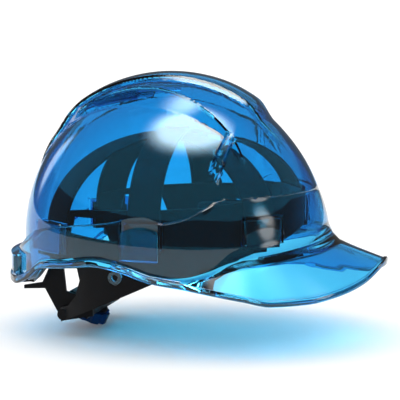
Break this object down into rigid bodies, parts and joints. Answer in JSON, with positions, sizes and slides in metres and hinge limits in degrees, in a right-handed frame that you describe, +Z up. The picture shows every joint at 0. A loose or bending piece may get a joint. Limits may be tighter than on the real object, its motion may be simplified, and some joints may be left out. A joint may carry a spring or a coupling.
{
  "type": "hard hat",
  "caption": "Peaked safety helmet with a ridged, vented translucent blue shell over a black strap cradle and a headband with a nape ratchet.",
  "frame": {"origin": "centre of the headband's oval at the level of the band's lower edge at the brow, where the wearer's head carries the helmet", "axes": "+X towards the peak, +Y to the wearer's left, +Z up through the crown"},
  "size_m": [0.2875, 0.2116, 0.195],
  "materials": {
    "cradle_plastic": "black moulded",
    "gear_plastic": "black moulded",
    "harness_plastic": "black moulded",
    "knob_plastic": "dark blue, smooth",
    "nape_foam": "black cloth over foam",
    "steel": "plated",
    "stud_plastic": "black moulded",
    "sweatband_towelling": "black towelling over foam",
    "tinted_polycarbonate": "clear blue tint, polished"
  },
  "bodies": {
    "helmet": {"band_hanger_front_left": "harness_plastic", "band_hanger_front_right": "harness_plastic", "band_hanger_rear_left": "harness_plastic", "band_hanger_rear_right": "harness_plastic", "brow_sweatband": "sweatband_towelling", "chinstrap_anchor_left": "tinted_polycarbonate", "chinstrap_anchor_right": "tinted_polycarbonate", "cradle_strap_left_front": "cradle_plastic", "cradle_strap_right_front": "cradle_plastic", "cradle_strap_side": "cradle_plastic", "crown_button": "stud_plastic", "detent_ring": "steel", "headband": "harness_plastic", "nape_pad": "nape_foam", "nape_yoke": "harness_plastic", "ratchet_housing": "harness_plastic", "shell": "tinted_polycarbonate", "strap_key_front_left": "harness_plastic", "strap_key_front_right": "harness_plastic", "strap_key_rear_left": "harness_plastic", "strap_key_rear_right": "harness_plastic", "strap_key_side_left": "harness_plastic", "strap_key_side_right": "harness_plastic", "yoke_studs": "stud_plastic"},
    "knob": {"ratchet_knob": "knob_plastic", "ratchet_pinion": "gear_plastic", "knob_screw": "steel"},
    "rack_left": {"ratchet_rack_left": "gear_plastic"},
    "rack_right": {"ratchet_rack_right": "gear_plastic"}
  },
  "joints": [
    {"name": "knob_turn", "type": "hinge", "parent": "helmet", "child": "knob", "pos_m": [-0.065, 0, -0.057], "axis": [-0.4226, 0, -0.9063], "range_deg": [-133, 133]},
    {"name": "rack_left_slide", "type": "slide", "parent": "helmet", "child": "rack_left", "axis": [0, 1, 0], "range_m": [-0.012, 0.012]},
    {"name": "rack_right_slide", "type": "slide", "parent": "helmet", "child": "rack_right", "axis": [0, -1, 0], "range_m": [-0.012, 0.012]}
  ],
  "couplings": [
    {"joint": "rack_left_slide", "follows": "knob_turn", "m_per_rad": 0.00515},
    {"joint": "rack_right_slide", "follows": "knob_turn", "m_per_rad": 0.00515}
  ]
}
